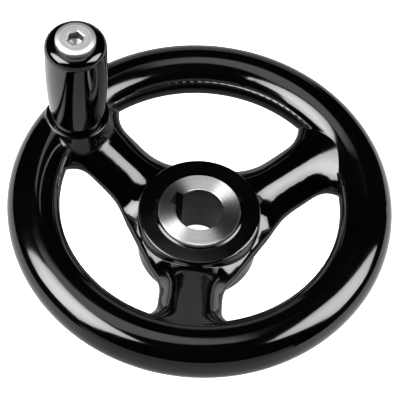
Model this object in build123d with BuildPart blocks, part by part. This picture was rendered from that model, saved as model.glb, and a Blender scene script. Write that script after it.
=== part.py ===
from build123d import *
import math
import os

# Machine handwheel with a revolving handle, millimetres.
# The wheel axis is Z. The origin is the middle of the hub's lower face.

# Steel hub bush
BUSH_LENGTH = 29.0
BUSH_DIAMETER = 34.5
BUSH_PROUD = 1.3
BUSH_EDGE_CHAMFER = 0.3
BUSH_LOWER_BAND = 8.0
BUSH_UPPER_BAND = 9.0
BUSH_WAIST_DEPTH = 3.5
BUSH_WAIST_SIDES = 6
SHAFT_BORE_DIAMETER = 20.0
KEYWAY_WIDTH = 6.0
KEYWAY_DEPTH = 2.8
KEYWAY_ANGLE = 156.0

# Hub shroud, moulded round the bush
SHROUD_DIAMETER = 51.6
SHROUD_DRAFT = 0.6
SHROUD_TOP_EDGE_RADIUS = 1.0
SHROUD_FOOT_EDGE_RADIUS = 1.0

# Hand rim, an oval section of four arcs turned about the axis
RIM_DIAMETER = 160.0
RIM_SECTION_WIDTH = 21.8
RIM_SECTION_DEPTH = 19.7
RIM_CROWN_RISE = 0.55
RIM_CENTRE_HEIGHT = 34.5

# Thin ledge inside the rim, where the two halves of the mould meet
LEDGE_SETBACK = 0.5
LEDGE_RISE = 4.4
LEDGE_EDGE_RADIUS = 0.5

# Dished spokes of oval section, thinner towards the rim and flared at both ends.
# The crown is above the parting line of the mould and the belly below it.
SPOKE_COUNT = 3
FIRST_SPOKE_ANGLE = 30.0
SPOKE_WIDTH = 26.2
CROWN_DEPTH_AT_HUB = 8.5
CROWN_DEPTH_AT_RIM = 6.5
BELLY_DEPTH_AT_HUB = 7.2
BELLY_DEPTH_AT_RIM = 4.6
SPOKE_SIDE_ROUNDNESS = 0.48
PARTING_HEIGHT_AT_HUB = 16.8
PARTING_DROP_AT_RIM = 0.6896
DISH_BEND_RADIUS = 6.0
HUB_FLARE_MARGIN = 2.1
HUB_FLARE_RADIUS = 21.0
RIM_FLARE_RADIUS = 9.2
RIM_FLARE_SETBACK = 2.9
SPOKE_STATIONS = 16

# Handle boss, on the spoke next to the first one, where that spoke runs into the rim
HANDLE_SPOKE_INDEX = 1
HANDLE_SETBACK = 5.5
BOSS_PROUD = 0.55
BOSS_TOP_DIAMETER = 26.6
BOSS_DRAFT_ANGLE = 8.0
BOSS_EDGE_RADIUS = 0.6

# Threaded bush moulded into the boss
INSERT_DIAMETER = 13.0
INSERT_LENGTH = 15.0
INSERT_GROOVE_WIDTH = 3.0
INSERT_GROOVE_DEPTH = 1.0
THREAD_DIAMETER = 8.0

# Handle spindle
JOURNAL_DIAMETER = 10.0
SCREW_END_GAP = 1.5
THREAD_RELIEF_LENGTH = 1.6
THREAD_RELIEF_DEPTH = 0.9
THREAD_END_CHAMFER = 1.0
HEAD_DIAMETER = 16.3
HEAD_HEIGHT = 6.0
HEAD_PROUD = 2.4
HEAD_CROWN_WIDTH = 1.6
HEAD_CROWN_DROP = 0.6
SOCKET_FLATS = 6.0
SOCKET_DEPTH = 4.2
SOCKET_MOUTH_BEVEL = 0.5
SOCKET_SIDES = 6
SOCKET_ANGLE = 22.0
DRILL_POINT_ANGLE = 118.0

# Revolving grip
GRIP_LENGTH = 48.6
GRIP_FOOT_RADIUS = 11.3
GRIP_BELLY_RADIUS = 12.8
GRIP_BELLY_HEIGHT = 31.5
GRIP_HEAD_RADIUS = 12.55
GRIP_FOOT_EDGE_RADIUS = 0.9
GRIP_HEAD_EDGE_RADIUS = 3.9

# Running clearances
FOOT_CLEARANCE = 0.3
SEAT_CLEARANCE = 0.4
JOURNAL_CLEARANCE = 0.08
HEAD_CLEARANCE = 0.3

# Sizes that follow from the ones above
full_turn = 360.0
spoke_pitch = full_turn / SPOKE_COUNT
handle_angle = FIRST_SPOKE_ANGLE + HANDLE_SPOKE_INDEX * spoke_pitch
shroud_radius = SHROUD_DIAMETER / 2
shroud_height = BUSH_LENGTH - BUSH_PROUD
bush_waist_flats = BUSH_DIAMETER - BUSH_WAIST_DEPTH
keyway_over_bore = SHAFT_BORE_DIAMETER + KEYWAY_DEPTH
rim_section_radius = RIM_SECTION_WIDTH / 2
rim_path_radius = RIM_DIAMETER / 2 - rim_section_radius
rim_inner_radius = rim_path_radius - rim_section_radius
rim_side_radius = min(rim_section_radius, RIM_SECTION_DEPTH / 2) - RIM_CROWN_RISE
parting_height_at_rim = RIM_CENTRE_HEIGHT - PARTING_DROP_AT_RIM
dish_angle = math.degrees(
    math.atan2(parting_height_at_rim - PARTING_HEIGHT_AT_HUB, rim_inner_radius - shroud_radius)
)
hub_flare_reach = shroud_radius + HUB_FLARE_MARGIN
ledge_radius = rim_inner_radius + LEDGE_SETBACK
ledge_top_height = RIM_CENTRE_HEIGHT + LEDGE_RISE
handle_axis_radius = rim_path_radius - HANDLE_SETBACK
boss_top_height = RIM_CENTRE_HEIGHT + RIM_SECTION_DEPTH / 2 + BOSS_PROUD
boss_centre = (
    handle_axis_radius * math.cos(math.radians(handle_angle)),
    handle_axis_radius * math.sin(math.radians(handle_angle)),
)
insert_foot_height = boss_top_height - INSERT_LENGTH
screw_end_height = insert_foot_height + SCREW_END_GAP
grip_foot_height = boss_top_height + FOOT_CLEARANCE
grip_top_height = grip_foot_height + GRIP_LENGTH
head_top_height = grip_top_height + HEAD_PROUD
head_under_height = head_top_height - HEAD_HEIGHT
grip_seat_depth = HEAD_HEIGHT - HEAD_PROUD + SEAT_CLEARANCE
drill_point_depth = SOCKET_FLATS / 2 / math.tan(math.radians(DRILL_POINT_ANGLE / 2))
handle_axis = Axis((*boss_centre, 0), (0, 0, 1))
handle_section_plane = Plane(origin=(*boss_centre, 0), x_dir=(1, 0, 0), z_dir=(0, -1, 0))

# The outside of the bush, also the shape of its seat in the moulding:
# two round bands with a six-sided waist between them, so it can neither turn nor pull out
with BuildPart() as bush_blank:
    Cylinder(
        BUSH_DIAMETER / 2,
        BUSH_LOWER_BAND,
        align=(Align.CENTER, Align.CENTER, Align.MIN),
    )
    with BuildSketch(Plane.XY.offset(BUSH_LOWER_BAND)) as waist_section:
        RegularPolygon(bush_waist_flats / 2, BUSH_WAIST_SIDES, major_radius=False)
        Circle(BUSH_DIAMETER / 2, mode=Mode.INTERSECT)
    extrude(amount=BUSH_LENGTH - BUSH_LOWER_BAND - BUSH_UPPER_BAND)
    with BuildSketch(Plane.XY.offset(BUSH_LENGTH - BUSH_UPPER_BAND)) as upper_band_section:
        Circle(BUSH_DIAMETER / 2)
    extrude(amount=BUSH_UPPER_BAND)

# The outside of the threaded insert, with one ring groove that locks it in the boss
with BuildPart() as insert_blank:
    with BuildSketch(handle_section_plane) as insert_section:
        with Locations((0, insert_foot_height)):
            Rectangle(INSERT_DIAMETER / 2, INSERT_LENGTH, align=(Align.MIN, Align.MIN))
        with Locations((INSERT_DIAMETER / 2, insert_foot_height + INSERT_LENGTH / 2)):
            Rectangle(
                INSERT_GROOVE_DEPTH,
                INSERT_GROOVE_WIDTH,
                align=(Align.MAX, Align.CENTER),
                mode=Mode.SUBTRACT,
            )
    revolve(axis=handle_axis)


def oval_outline(half_width, crown_depth, belly_depth, side_radius, centre):
    """The closed outline of an oval of four arcs: a crown and a belly joined by two equal sides."""
    side_shift = half_width - side_radius
    radii = []
    turns = []
    for half_depth in (crown_depth, belly_depth):
        broad_shift = half_depth - side_radius
        radius_gain = (side_shift**2 + broad_shift**2) / (2 * broad_shift)
        radii.append(side_radius + radius_gain)
        turns.append(math.degrees(math.asin(side_shift / radius_gain)))
    side_turn = full_turn / 2 - sum(turns)
    crown_end = (
        centre[0] + radii[0] * math.sin(math.radians(turns[0])),
        centre[1] + crown_depth - radii[0] * (1 - math.cos(math.radians(turns[0]))),
    )
    crown_end_tangent = (-math.cos(math.radians(turns[0])), math.sin(math.radians(turns[0])))
    crown_arc = JernArc(crown_end, crown_end_tangent, radii[0], 2 * turns[0])
    inner_side = JernArc(crown_arc @ 1, crown_arc % 1, side_radius, side_turn)
    belly_arc = JernArc(inner_side @ 1, inner_side % 1, radii[1], 2 * turns[1])
    JernArc(belly_arc @ 1, belly_arc % 1, side_radius, side_turn)


def spoke_half_width(distance):
    """Half the width of a spoke at a distance from the wheel axis, with a flare at each end."""
    half_width = SPOKE_WIDTH / 2
    side_slope = math.radians(spoke_pitch / 2)
    hub_arc_height = half_width + HUB_FLARE_RADIUS
    hub_arc_distance = (
        hub_flare_reach + HUB_FLARE_RADIUS - hub_arc_height * math.sin(side_slope)
    ) / math.cos(side_slope)
    rim_arc_height = half_width + RIM_FLARE_RADIUS
    rim_arc_distance = math.sqrt(
        (rim_inner_radius + RIM_FLARE_SETBACK - RIM_FLARE_RADIUS) ** 2 - rim_arc_height**2
    )
    if distance < hub_arc_distance - HUB_FLARE_RADIUS * math.cos(side_slope):
        return (hub_flare_reach - distance * math.cos(side_slope)) / math.sin(side_slope)
    if distance < hub_arc_distance:
        return hub_arc_height - math.sqrt(HUB_FLARE_RADIUS**2 - (hub_arc_distance - distance) ** 2)
    if distance < rim_arc_distance:
        return half_width
    past_rim_arc = distance - rim_arc_distance - RIM_FLARE_RADIUS * math.sin(side_slope)
    if past_rim_arc < 0:
        return rim_arc_height - math.sqrt(RIM_FLARE_RADIUS**2 - (distance - rim_arc_distance) ** 2)
    return (
        rim_arc_height - RIM_FLARE_RADIUS * math.cos(side_slope) + past_rim_arc * math.tan(side_slope)
    )


def parting_height(distance):
    """Height of a spoke's parting line: level in the hub, then bent up to the dish angle."""
    bend_half_run = DISH_BEND_RADIUS * math.tan(math.radians(dish_angle / 2))
    run = distance - shroud_radius
    if run < -bend_half_run:
        return PARTING_HEIGHT_AT_HUB
    if run < bend_half_run * math.cos(math.radians(dish_angle)):
        drop = math.sqrt(DISH_BEND_RADIUS**2 - (run + bend_half_run) ** 2)
        return PARTING_HEIGHT_AT_HUB + DISH_BEND_RADIUS - drop
    return PARTING_HEIGHT_AT_HUB + run * math.tan(math.radians(dish_angle))


# One spoke, lofted through oval sections from the shaft bore to inside the rim,
# and cut to its own third of the wheel
with BuildPart() as spoke_blank:
    first_station = SHAFT_BORE_DIAMETER / 2
    last_station = (rim_inner_radius + rim_path_radius) / 2
    for station in range(SPOKE_STATIONS):
        distance = first_station + station * (last_station - first_station) / (SPOKE_STATIONS - 1)
        share = (distance - shroud_radius) / (rim_inner_radius - shroud_radius)
        crown_depth = CROWN_DEPTH_AT_HUB + share * (CROWN_DEPTH_AT_RIM - CROWN_DEPTH_AT_HUB)
        belly_depth = BELLY_DEPTH_AT_HUB + share * (BELLY_DEPTH_AT_RIM - BELLY_DEPTH_AT_HUB)
        station_plane = Plane(
            origin=(distance, 0, parting_height(distance)),
            x_dir=(0, 1, 0),
            z_dir=(1, 0, 0),
        )
        with BuildSketch(station_plane) as spoke_section:
            with BuildLine():
                oval_outline(
                    spoke_half_width(distance),
                    crown_depth,
                    belly_depth,
                    SPOKE_SIDE_ROUNDNESS * min(crown_depth, belly_depth),
                    (0, 0),
                )
            make_face()
    loft()
    with BuildSketch() as spoke_sector:
        with BuildLine():
            Polyline(
                (0, 0),
                (RIM_DIAMETER, RIM_DIAMETER * math.tan(math.radians(spoke_pitch / 2))),
                (RIM_DIAMETER, -RIM_DIAMETER * math.tan(math.radians(spoke_pitch / 2))),
                close=True,
            )
        make_face()
    extrude(amount=RIM_CENTRE_HEIGHT + RIM_SECTION_DEPTH, mode=Mode.INTERSECT)

# Handle boss, drafted, with its root inside the spoke and the rim
with BuildPart() as boss_blank:
    with BuildSketch(Plane(origin=(*boss_centre, boss_top_height), z_dir=(0, 0, -1))) as boss_top:
        Circle(BOSS_TOP_DIAMETER / 2)
    extrude(amount=boss_top_height - RIM_CENTRE_HEIGHT, taper=-BOSS_DRAFT_ANGLE)
    boss_face = boss_blank.faces().filter_by(Axis.Z).sort_by(Axis.Z)[-1]
    fillet(boss_face.edges(), radius=BOSS_EDGE_RADIUS)

# Wheel body, one moulding: rim, dished spokes, hub shroud and handle boss
with BuildPart() as wheel_body:
    with PolarLocations(0, SPOKE_COUNT, start_angle=FIRST_SPOKE_ANGLE):
        add(spoke_blank.part)

    with BuildSketch(Plane.XZ) as rim_section:
        with BuildLine():
            oval_outline(
                rim_section_radius,
                RIM_SECTION_DEPTH / 2,
                RIM_SECTION_DEPTH / 2,
                rim_side_radius,
                (rim_path_radius, RIM_CENTRE_HEIGHT),
            )
        make_face()
    revolve(axis=Axis.Z)

    with BuildSketch(Plane.XZ) as ledge_section:
        with BuildLine():
            Polyline(
                (ledge_radius, RIM_CENTRE_HEIGHT),
                (rim_path_radius, RIM_CENTRE_HEIGHT),
                (rim_path_radius, ledge_top_height),
                (ledge_radius, ledge_top_height),
                close=True,
            )
        make_face()
        ledge_corner = ledge_section.vertices().sort_by_distance((ledge_radius, ledge_top_height))[0]
        fillet(ledge_corner, radius=LEDGE_EDGE_RADIUS)
    revolve(axis=Axis.Z)

    with BuildSketch(Plane.XZ) as shroud_section:
        with BuildLine():
            Polyline(
                (0, 0),
                ((SHROUD_DIAMETER - SHROUD_DRAFT) / 2, 0),
                (shroud_radius, PARTING_HEIGHT_AT_HUB),
                (shroud_radius, shroud_height),
                (0, shroud_height),
                close=True,
            )
        make_face()
        outer_corners = shroud_section.vertices().filter_by(lambda v: v.X > 0)
        fillet(outer_corners.sort_by(Axis.Y)[-1], radius=SHROUD_TOP_EDGE_RADIUS)
        fillet(outer_corners.sort_by(Axis.Y)[0], radius=SHROUD_FOOT_EDGE_RADIUS)
    revolve(axis=Axis.Z)

    add(boss_blank.part)
    add(bush_blank.part, mode=Mode.SUBTRACT)
    add(insert_blank.part, mode=Mode.SUBTRACT)

# Hub bush with the shaft bore and its keyway
with BuildPart() as hub_bush:
    add(bush_blank.part)
    Cylinder(SHAFT_BORE_DIAMETER / 2, 2 * BUSH_LENGTH, mode=Mode.SUBTRACT)
    end_rings = hub_bush.faces().filter_by(Axis.Z).sort_by(Axis.Z)
    chamfer(end_rings[-1].edges(), length=BUSH_EDGE_CHAMFER)
    chamfer(end_rings[0].edges().sort_by(SortBy.RADIUS)[0], length=BUSH_EDGE_CHAMFER)
    with BuildSketch() as keyway_section:
        with Locations(Rotation(0, 0, KEYWAY_ANGLE)):
            Rectangle(
                keyway_over_bore - SHAFT_BORE_DIAMETER / 2,
                KEYWAY_WIDTH,
                align=(Align.MIN, Align.CENTER),
            )
    extrude(amount=BUSH_LENGTH, mode=Mode.SUBTRACT)

# Threaded insert in the handle boss
with BuildPart() as handle_insert:
    add(insert_blank.part)
    with BuildSketch(Plane(origin=(*boss_centre, insert_foot_height))) as thread_hole:
        Circle(THREAD_DIAMETER / 2)
    extrude(amount=INSERT_LENGTH, mode=Mode.SUBTRACT)

# Handle spindle: screw end, shoulder, journal and socket head, turned in one
with BuildPart() as handle_spindle:
    with BuildSketch(handle_section_plane) as spindle_section:
        with BuildLine():
            Polyline(
                (0, screw_end_height),
                (THREAD_DIAMETER / 2, screw_end_height),
                (THREAD_DIAMETER / 2, boss_top_height - THREAD_RELIEF_LENGTH),
                (THREAD_DIAMETER / 2 - THREAD_RELIEF_DEPTH, boss_top_height - THREAD_RELIEF_LENGTH),
                (THREAD_DIAMETER / 2 - THREAD_RELIEF_DEPTH, boss_top_height),
                (JOURNAL_DIAMETER / 2, boss_top_height),
                (JOURNAL_DIAMETER / 2, head_under_height),
                (HEAD_DIAMETER / 2, head_under_height),
                (HEAD_DIAMETER / 2, head_top_height - HEAD_CROWN_DROP),
                (HEAD_DIAMETER / 2 - HEAD_CROWN_WIDTH, head_top_height),
                (0, head_top_height),
                close=True,
            )
        make_face()
        screw_corner = spindle_section.vertices().sort_by_distance(
            (THREAD_DIAMETER / 2, screw_end_height)
        )[0]
        chamfer(screw_corner, length=THREAD_END_CHAMFER)
    revolve(axis=handle_axis)
    with BuildSketch(Plane(origin=(*boss_centre, head_top_height))) as socket_section:
        RegularPolygon(SOCKET_FLATS / 2, SOCKET_SIDES, major_radius=False, rotation=SOCKET_ANGLE)
    extrude(amount=-SOCKET_DEPTH, mode=Mode.SUBTRACT)
    socket_edges = handle_spindle.faces().filter_by(Axis.Z).sort_by(Axis.Z)[-1].inner_wires().edges()
    chamfer(socket_edges, length=SOCKET_MOUTH_BEVEL)
    with Locations((*boss_centre, head_top_height - SOCKET_DEPTH)):
        Cone(
            0,
            SOCKET_FLATS / 2,
            drill_point_depth,
            align=(Align.CENTER, Align.CENTER, Align.MAX),
            mode=Mode.SUBTRACT,
        )

# Revolving grip with its journal bore and the seat for the spindle head
with BuildPart() as handle_grip:
    with BuildSketch(handle_section_plane) as grip_section:
        with BuildLine():
            belly = (GRIP_BELLY_RADIUS, grip_foot_height + GRIP_BELLY_HEIGHT)
            lower_flank = TangentArc(belly, (GRIP_FOOT_RADIUS, grip_foot_height), tangent=(0, -1))
            upper_flank = TangentArc(belly, (GRIP_HEAD_RADIUS, grip_top_height), tangent=(0, 1))
            Polyline(
                lower_flank @ 1,
                (JOURNAL_DIAMETER / 2 + JOURNAL_CLEARANCE, grip_foot_height),
                (JOURNAL_DIAMETER / 2 + JOURNAL_CLEARANCE, grip_top_height - grip_seat_depth),
                (HEAD_DIAMETER / 2 + HEAD_CLEARANCE, grip_top_height - grip_seat_depth),
                (HEAD_DIAMETER / 2 + HEAD_CLEARANCE, grip_top_height),
                upper_flank @ 1,
            )
        make_face()
        foot_corner = grip_section.vertices().sort_by_distance((GRIP_FOOT_RADIUS, grip_foot_height))[0]
        fillet(foot_corner, radius=GRIP_FOOT_EDGE_RADIUS)
        top_corner = grip_section.vertices().sort_by_distance((GRIP_HEAD_RADIUS, grip_top_height))[0]
        fillet(top_corner, radius=GRIP_HEAD_EDGE_RADIUS)
    revolve(axis=handle_axis)

wheel_body.part.label = "wheel_body"
hub_bush.part.label = "hub_bush"
handle_insert.part.label = "handle_insert"
handle_spindle.part.label = "handle_spindle"
handle_grip.part.label = "handle_grip"

os.makedirs("parts", exist_ok=True)
export_step(wheel_body.part, "parts/wheel_body.step")
export_step(hub_bush.part, "parts/hub_bush.step")
export_step(handle_insert.part, "parts/handle_insert.step")
export_step(handle_spindle.part, "parts/handle_spindle.step")
export_step(handle_grip.part, "parts/handle_grip.step")
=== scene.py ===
"""The looks of the machine handwheel: finishes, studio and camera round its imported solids."""

import math

import bpy
from mathutils import Matrix, Vector

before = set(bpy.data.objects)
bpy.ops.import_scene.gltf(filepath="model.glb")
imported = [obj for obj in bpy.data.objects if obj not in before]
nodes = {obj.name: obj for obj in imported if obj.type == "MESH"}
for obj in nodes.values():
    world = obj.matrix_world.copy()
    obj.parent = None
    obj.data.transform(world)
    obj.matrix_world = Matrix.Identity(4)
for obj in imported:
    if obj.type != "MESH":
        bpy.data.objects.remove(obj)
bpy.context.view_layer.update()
scene = bpy.context.scene

# Lengths are in metres, in the part's own frame. A pair is where a change starts and ends.
WHEEL_AXIS = (0.0, 0.0)
HANDLE_AXIS = (-0.0550792, 0.0318)
EDGE_RADIUS = 0.0004
BOSS_FOOT_RADIUS = 0.0028
BOSS_FOOT_TOP = (0.0420, 0.0440)
BOSS_FOOT_REACH = (0.0165, 0.0200)
LIP_HEIGHT = 0.0006
LIP_FOOT = (0.0270, 0.0272)
LIP_REACH = (0.0177, 0.0190)
SOFT_STEP = 0.0001
AIM_HEIGHT = 0.03
SHADE_REACH = (0.066, 0.082)
# Shares from 0 to 1.
LATHE_MARK_SHARE = 0.75
# How near black the painted shade in a hollow's corners and slots gets.
CORNER_PAINTED_SHADE = 0.9


# ---------------------------------------------------------------- node helpers


def new_material(name):
    """An empty node material with its output and one principled shader."""
    mat = bpy.data.materials.new(name)
    mat.use_nodes = True
    tree = mat.node_tree
    tree.nodes.clear()
    out = tree.nodes.new("ShaderNodeOutputMaterial")
    shader = tree.nodes.new("ShaderNodeBsdfPrincipled")
    tree.links.new(shader.outputs["BSDF"], out.inputs["Surface"])
    return mat, tree, shader


def feed(tree, socket, value):
    """Links another node's output to a socket, or sets the socket's own value."""
    if isinstance(value, bpy.types.NodeSocket):
        tree.links.new(value, socket)
    else:
        socket.default_value = value


def node(tree, kind, inputs=None, **settings):
    """A node with its settings and inputs."""
    made = tree.nodes.new(kind)
    for key, value in settings.items():
        setattr(made, key, value)
    for key, value in (inputs or {}).items():
        feed(tree, made.inputs[key], value)
    return made


def object_point(tree):
    return node(tree, "ShaderNodeTexCoord").outputs["Object"]


def split_xyz(tree, vector):
    return node(tree, "ShaderNodeSeparateXYZ", {"Vector": vector}).outputs


def vector_maths(tree, kind, output, *vectors):
    made = node(tree, "ShaderNodeVectorMath", dict(enumerate(vectors)), operation=kind)
    return made.outputs[output]


def length(tree, vector):
    return vector_maths(tree, "LENGTH", "Value", vector)


def level_offset(tree, point, axis):
    """The level part of the way from an upright axis to a point."""
    local = split_xyz(tree, vector_maths(tree, "SUBTRACT", "Vector", point, (*axis, 0.0)))
    flat = node(tree, "ShaderNodeCombineXYZ", {"X": local["X"], "Y": local["Y"]})
    return flat.outputs["Vector"]


def noise(tree, vector, scale, detail, rough):
    return node(
        tree,
        "ShaderNodeTexNoise",
        {"Vector": vector, "Scale": scale, "Detail": detail, "Roughness": rough},
    ).outputs["Fac"]


def ramp(tree, value, span, onto, smooth=True):
    """Maps a value from one span onto another and holds it inside the second."""
    return node(
        tree,
        "ShaderNodeMapRange",
        {
            "Value": value,
            "From Min": span[0],
            "From Max": span[1],
            "To Min": onto[0],
            "To Max": onto[1],
        },
        interpolation_type="SMOOTHSTEP" if smooth else "LINEAR",
    ).outputs["Result"]


def rise(tree, value, low, high):
    return ramp(tree, value, (low, high), (0.0, 1.0))


def fall(tree, value, low, high):
    return ramp(tree, value, (low, high), (1.0, 0.0))


def maths(tree, kind, *values):
    return node(tree, "ShaderNodeMath", dict(enumerate(values)), operation=kind).outputs[0]


def product(tree, a, b):
    return maths(tree, "MULTIPLY", a, b)


def mix_colour(tree, factor, a, b):
    """Mixes two colours. The mix node's colour sockets are 6 and 7, and its result is 2."""
    return node(tree, "ShaderNodeMix", {0: factor, 6: a, 7: b}, data_type="RGBA").outputs[2]


def mix_value(tree, factor, a, b):
    """Mixes two numbers. The mix node's number sockets are 2 and 3, and its result is 0."""
    return node(tree, "ShaderNodeMix", {0: factor, 2: a, 3: b}, data_type="FLOAT").outputs[0]


def bump(tree, height, strength, distance, normal=None):
    """A normal tilted by a height map, on top of another normal where one is given."""
    inputs = {"Strength": strength, "Distance": distance, "Height": height}
    if normal is not None:
        inputs["Normal"] = normal
    return node(tree, "ShaderNodeBump", inputs).outputs["Normal"]


def shade(tint, share):
    """A colour at a share of its tone."""
    return tuple(t * share for t in tint) + (1,)


# ---------------------------------------------------------------- materials


def moulding(name, wheel):
    """Black thermoset, polished to a high gloss, with the faint waviness of a pressed skin.

    Its edges and inner corners are softly rounded, as a mould leaves them. The wheel's own are
    rounder at the foot of the handle boss, and its hub stands up a little round the steel bush.
    """
    mat, tree, shader = new_material(name)
    point = object_point(tree)
    wave = noise(tree, point, scale=55.0, detail=2.0, rough=0.4)
    grain = noise(tree, point, scale=900.0, detail=3.0, rough=0.6)
    haze = noise(tree, point, scale=28.0, detail=5.0, rough=0.6)
    hazy = (0.35, 0.7)
    tone = mix_colour(
        tree,
        rise(tree, haze, *hazy),
        (0.0004, 0.0004, 0.0004, 1),
        (0.0008, 0.0008, 0.0009, 1),
    )
    feed(tree, shader.inputs["Base Color"], tone)
    feed(tree, shader.inputs["Roughness"], ramp(tree, haze, hazy, (0.06, 0.11)))
    shader.inputs["IOR"].default_value = 1.52

    edge_radius = EDGE_RADIUS
    if wheel:
        height = split_xyz(tree, point)["Z"]
        from_handle = length(tree, level_offset(tree, point, HANDLE_AXIS))
        boss_foot = product(
            tree,
            fall(tree, height, *BOSS_FOOT_TOP),
            fall(tree, from_handle, *BOSS_FOOT_REACH),
        )
        edge_radius = ramp(
            tree, boss_foot, (0.0, 1.0), (EDGE_RADIUS, BOSS_FOOT_RADIUS), smooth=False
        )
    rounded = node(tree, "ShaderNodeBevel", {"Radius": edge_radius}, samples=12)
    surface = bump(tree, wave, 0.12, 0.0006, rounded.outputs["Normal"])
    if wheel:
        from_centre = length(tree, level_offset(tree, point, WHEEL_AXIS))
        lip = product(
            tree,
            fall(tree, from_centre, *LIP_REACH),
            rise(tree, height, *LIP_FOOT),
        )
        surface = bump(tree, lip, 1.0, LIP_HEIGHT, surface)
    feed(tree, shader.inputs["Normal"], bump(tree, grain, 0.02, 0.00005, surface))
    return mat


def turned_steel(name, axis, tint, rough, anisotropy, hollow):
    """Steel faced on a lathe: fine rings round an upright axis.

    The hollow is a bore or socket, darkened with painted shade. It has the radius of its round
    wall, the radius of the corners or slots beyond that, its lowest and highest point, and its
    share of the faced steel's tone, which sets how dark its painted shade is.
    """
    mat, tree, shader = new_material(name)
    point = object_point(tree)
    flat = level_offset(tree, point, axis)
    radius = length(tree, flat)
    height = split_xyz(tree, point)["Z"]
    rings = node(tree, "ShaderNodeCombineXYZ", {"X": radius}).outputs["Vector"]
    fine = noise(tree, rings, scale=4200.0, detail=3.0, rough=0.7)
    broad = noise(tree, rings, scale=1900.0, detail=3.0, rough=0.7)
    cloud = noise(tree, point, scale=140.0, detail=4.0, rough=0.6)

    clouding = product(tree, cloud, 1.0 - LATHE_MARK_SHARE)
    marks = maths(tree, "MULTIPLY_ADD", broad, LATHE_MARK_SHARE, clouding)
    faced = mix_colour(
        tree, rise(tree, marks, 0.38, 0.62), shade(tint, 0.80), shade(tint, 1.08)
    )
    # Painted shade in the bore or socket: the faced steel's tone cut to the hollow's share,
    # clouded.
    share = hollow["share"]
    hollow_painted_shade = mix_colour(
        tree, rise(tree, cloud, 0.35, 0.65), shade(tint, share * 0.65), shade(tint, share)
    )
    wall = hollow["radius"]
    # Painted shade: the corners and slots beyond the round wall are painted nearly black.
    corner_painted_shade = ramp(tree, radius, (wall, wall * 1.02), (0.0, CORNER_PAINTED_SHADE))
    hollow_painted_shade = mix_colour(tree, corner_painted_shade, hollow_painted_shade, (0, 0, 0, 1))
    between_ends = product(
        tree,
        fall(tree, height, hollow["top"] - SOFT_STEP, hollow["top"]),
        rise(tree, height, hollow["bottom"], hollow["bottom"] + SOFT_STEP),
    )
    within_corners = fall(
        tree, radius, hollow["corner_radius"], hollow["corner_radius"] + SOFT_STEP
    )
    inside = product(tree, between_ends, within_corners)
    feed(tree, shader.inputs["Base Color"], mix_colour(tree, inside, faced, hollow_painted_shade))
    shader.inputs["Metallic"].default_value = 1.0
    feed(
        tree,
        shader.inputs["Roughness"],
        ramp(tree, broad, (0.3, 0.7), (rough * 0.88, rough * 1.12)),
    )
    shader.inputs["Anisotropic"].default_value = anisotropy
    outwards = vector_maths(tree, "NORMALIZE", "Vector", flat)
    feed(tree, shader.inputs["Tangent"], outwards)
    feed(tree, shader.inputs["Normal"], bump(tree, fine, 0.25, 0.00004))
    return mat


def brass(name):
    """Turned brass with a slight tarnish."""
    mat, tree, shader = new_material(name)
    cloud = noise(tree, object_point(tree), scale=210.0, detail=5.0, rough=0.6)
    tone = mix_colour(
        tree, rise(tree, cloud, 0.4, 0.66), (0.72, 0.50, 0.20, 1), (0.52, 0.35, 0.14, 1)
    )
    feed(tree, shader.inputs["Base Color"], tone)
    shader.inputs["Metallic"].default_value = 1.0
    feed(tree, shader.inputs["Roughness"], ramp(tree, cloud, (0.3, 0.7), (0.24, 0.38)))
    return mat


# The bore and the socket are darkened with painted shade, to the share of the faced steel's
# tone given here.
bore = {
    "radius": 0.01005,
    "corner_radius": 0.0133,
    "bottom": 0.0004,
    "top": 0.0286,
    "share": 0.10,
}
socket = {
    "radius": 0.0036,
    "corner_radius": 0.0037,
    "bottom": 0.0900,
    "top": 0.0958,
    "share": 0.5,
}
finishes = {
    "wheel_body": moulding("black_moulding", wheel=True),
    "handle_grip": moulding("grip_moulding", wheel=False),
    "hub_bush": turned_steel(
        "bush_steel",
        WHEEL_AXIS,
        tint=(0.43, 0.43, 0.42),
        rough=0.40,
        anisotropy=0.96,
        hollow=bore,
    ),
    "handle_spindle": turned_steel(
        "spindle_steel",
        HANDLE_AXIS,
        tint=(0.60, 0.60, 0.59),
        rough=0.5,
        anisotropy=0.1,
        hollow=socket,
    ),
    "handle_insert": brass("insert_brass"),
}
for name, finish in finishes.items():
    obj = nodes[name]
    if not obj.material_slots:
        obj.data.materials.append(finish)
    for slot in obj.material_slots:
        slot.material = finish


# ---------------------------------------------------------------- studio


def direction(azimuth, elevation):
    """Unit vector. Azimuth is clockwise from +Y, seen from above."""
    a, e = math.radians(azimuth), math.radians(elevation)
    return Vector((math.sin(a) * math.cos(e), math.cos(a) * math.cos(e), math.sin(e)))


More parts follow.
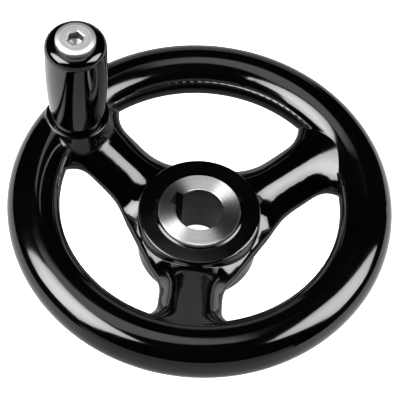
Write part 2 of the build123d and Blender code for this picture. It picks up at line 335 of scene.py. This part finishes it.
def softbox(name, azimuth, elevation, distance, size, radiance, soft=0.0, rest=1.0, roll=0.0):
    """A rectangular soft light that faces the object.

    It fades out at its edges, over the soft share of its sides, and falls to the rest share of
    its brightness from its middle to its rim. Angles are in degrees.
    """
    data = bpy.data.lights.new(name, "AREA")
    if soft:
        data.use_nodes = True
        tree = data.node_tree
        across = node(tree, "ShaderNodeNewGeometry").outputs["Parametric"]
        split = split_xyz(tree, across)
        from_middle = vector_maths(tree, "SUBTRACT", "Vector", across, (0.5, 0.5, 0.0))
        strength = ramp(tree, length(tree, from_middle), (0.16, 0.60), (1.0, rest))
        for side in ("X", "Y"):
            offset = maths(tree, "SUBTRACT", split[side], 0.5)
            inset = maths(tree, "SUBTRACT", 0.5, maths(tree, "ABSOLUTE", offset))
            strength = product(tree, strength, rise(tree, inset, 0.0, soft))
        tree.links.new(strength, tree.nodes["Emission"].inputs["Strength"])
    width, height = size
    data.shape = "RECTANGLE"
    data.size, data.size_y = width, height
    data.energy = radiance * math.pi * width * height
    obj = bpy.data.objects.new(name, data)
    scene.collection.objects.link(obj)
    towards = direction(azimuth, elevation)
    turn = (-towards).to_track_quat("-Z", "Y").to_matrix().to_4x4()
    obj.matrix_world = (
        Matrix.Translation(towards * distance + Vector((0, 0, AIM_HEIGHT)))
        @ turn
        @ Matrix.Rotation(math.radians(roll), 4, "Z")
    )
    obj.visible_camera = False
    return obj


softbox("key_left", -107.0, 48.4, 1.4, size=(1.06, 1.16), radiance=15.6, soft=0.08, rest=0.6)
key_right = softbox(
    "key_right",
    91.5,
    44.2,
    0.85,
    size=(0.53, 0.76),
    radiance=12.4,
    soft=0.08,
    rest=0.7,
    roll=9.0,
)
softbox("ceiling", -33.5, 74.5, 3.0, size=(1.75, 1.65), radiance=1.7, soft=0.15, roll=-10.0)
softbox("front_low", 180.0, 8.0, 3.0, size=(7.0, 1.0), radiance=0.6)
softbox("back_low", -1.0, 9.0, 3.0, size=(2.3, 1.1), radiance=0.48, soft=0.12)
bush_fill = softbox("bush_fill", 164.0, 50.0, 1.0, size=(1.5, 0.7), radiance=9.0, soft=0.25)

# The right softbox leaves the steel bush out, and the bush has a fill light of its own.
for lamp, state in ((key_right, "EXCLUDE"), (bush_fill, "INCLUDE")):
    chosen = bpy.data.collections.new(lamp.name + "_receivers")
    chosen.objects.link(nodes["hub_bush"])
    chosen.collection_objects[0].light_linking.link_state = state
    lamp.light_linking.receiver_collection = chosen

# White behind the object, and no light from it.
world = bpy.data.worlds.new("studio")
scene.world = world
world.use_nodes = True
background = world.node_tree.nodes["Background"]
background.inputs["Color"].default_value = (1, 1, 1, 1)
background.inputs["Strength"].default_value = 1.0
for ray in ("diffuse", "glossy", "transmission", "scatter"):
    setattr(world.cycles_visibility, ray, False)


def floor(name, drop, side, tone):
    """A level sheet just under the wheel that glows. Gives the sheet, its nodes and shader."""
    mesh = bpy.data.meshes.new(name)
    corners = ((-side, -side), (side, -side), (side, side), (-side, side))
    mesh.from_pydata([(x, y, -drop) for x, y in corners], [], [(0, 1, 2, 3)])
    obj = bpy.data.objects.new(name, mesh)
    scene.collection.objects.link(obj)
    mat, tree, shader = new_material(name)
    cloud = noise(tree, object_point(tree), scale=1.5, detail=2.0, rough=0.5)
    pale = (tone, tone, tone)
    colour = mix_colour(tree, cloud, shade(pale, 1.0), shade(pale, 0.99))
    feed(tree, shader.inputs["Base Color"], colour)
    shader.inputs["Roughness"].default_value = 0.9
    shader.inputs["Specular IOR Level"].default_value = 0.0
    shader.inputs["Emission Color"].default_value = (1, 1, 1, 1)
    mesh.materials.append(mat)
    return obj, tree, shader


# The floor that the camera sees is plain white.
shown_floor, _, shader = floor("studio_floor", drop=0.0002, side=6.0, tone=0.85)
shader.inputs["Emission Strength"].default_value = 1.0
shown_floor.visible_glossy = False
shown_floor.visible_diffuse = False
shown_floor.visible_shadow = False

# The floor that the black moulding mirrors glows with painted light: dimmer in front and behind
# than at the sides, and dimmer still in the wheel's own shade, which is a painted shadow.
mirrored_floor, tree, shader = floor("studio_floor_mirrored", drop=0.0006, side=1.2, tone=0.02)
point = object_point(tree)
along = split_xyz(tree, point)
from_centre = length(tree, level_offset(tree, point, WHEEL_AXIS))
aside = maths(tree, "DIVIDE", maths(tree, "ABSOLUTE", along["X"]), from_centre)
# Painted light round the wheel and a painted shadow under it.
painted_side_light = ramp(tree, aside, (0.45, 0.95), (0.66, 1.35))
painted_wheel_shade = ramp(tree, along["Y"], (0.0, 0.03), (0.5, 0.2))
outside = rise(tree, from_centre, *SHADE_REACH)
painted_floor_light = mix_value(tree, outside, painted_wheel_shade, painted_side_light)
feed(tree, shader.inputs["Emission Strength"], painted_floor_light)
mirrored_floor.visible_camera = False
mirrored_floor.visible_diffuse = False

# ---------------------------------------------------------------- camera

camera_data = bpy.data.cameras.new("camera")
camera_data.sensor_width = 36.0
camera_data.sensor_fit = "HORIZONTAL"
camera_data.lens = 149.58
camera_data.shift_x = -0.00165
camera_data.shift_y = 0.00185
camera_data.clip_start = 0.05
camera_data.clip_end = 50.0
camera = bpy.data.objects.new("camera", camera_data)
scene.collection.objects.link(camera)
camera.location = (0.006475, -0.370943, 0.617500)
camera.rotation_euler = [math.radians(a) for a in (32.4379, -2.5420, 4.9715)]
scene.camera = camera

scene.view_settings.view_transform = "Standard"
scene.view_settings.look = "None"
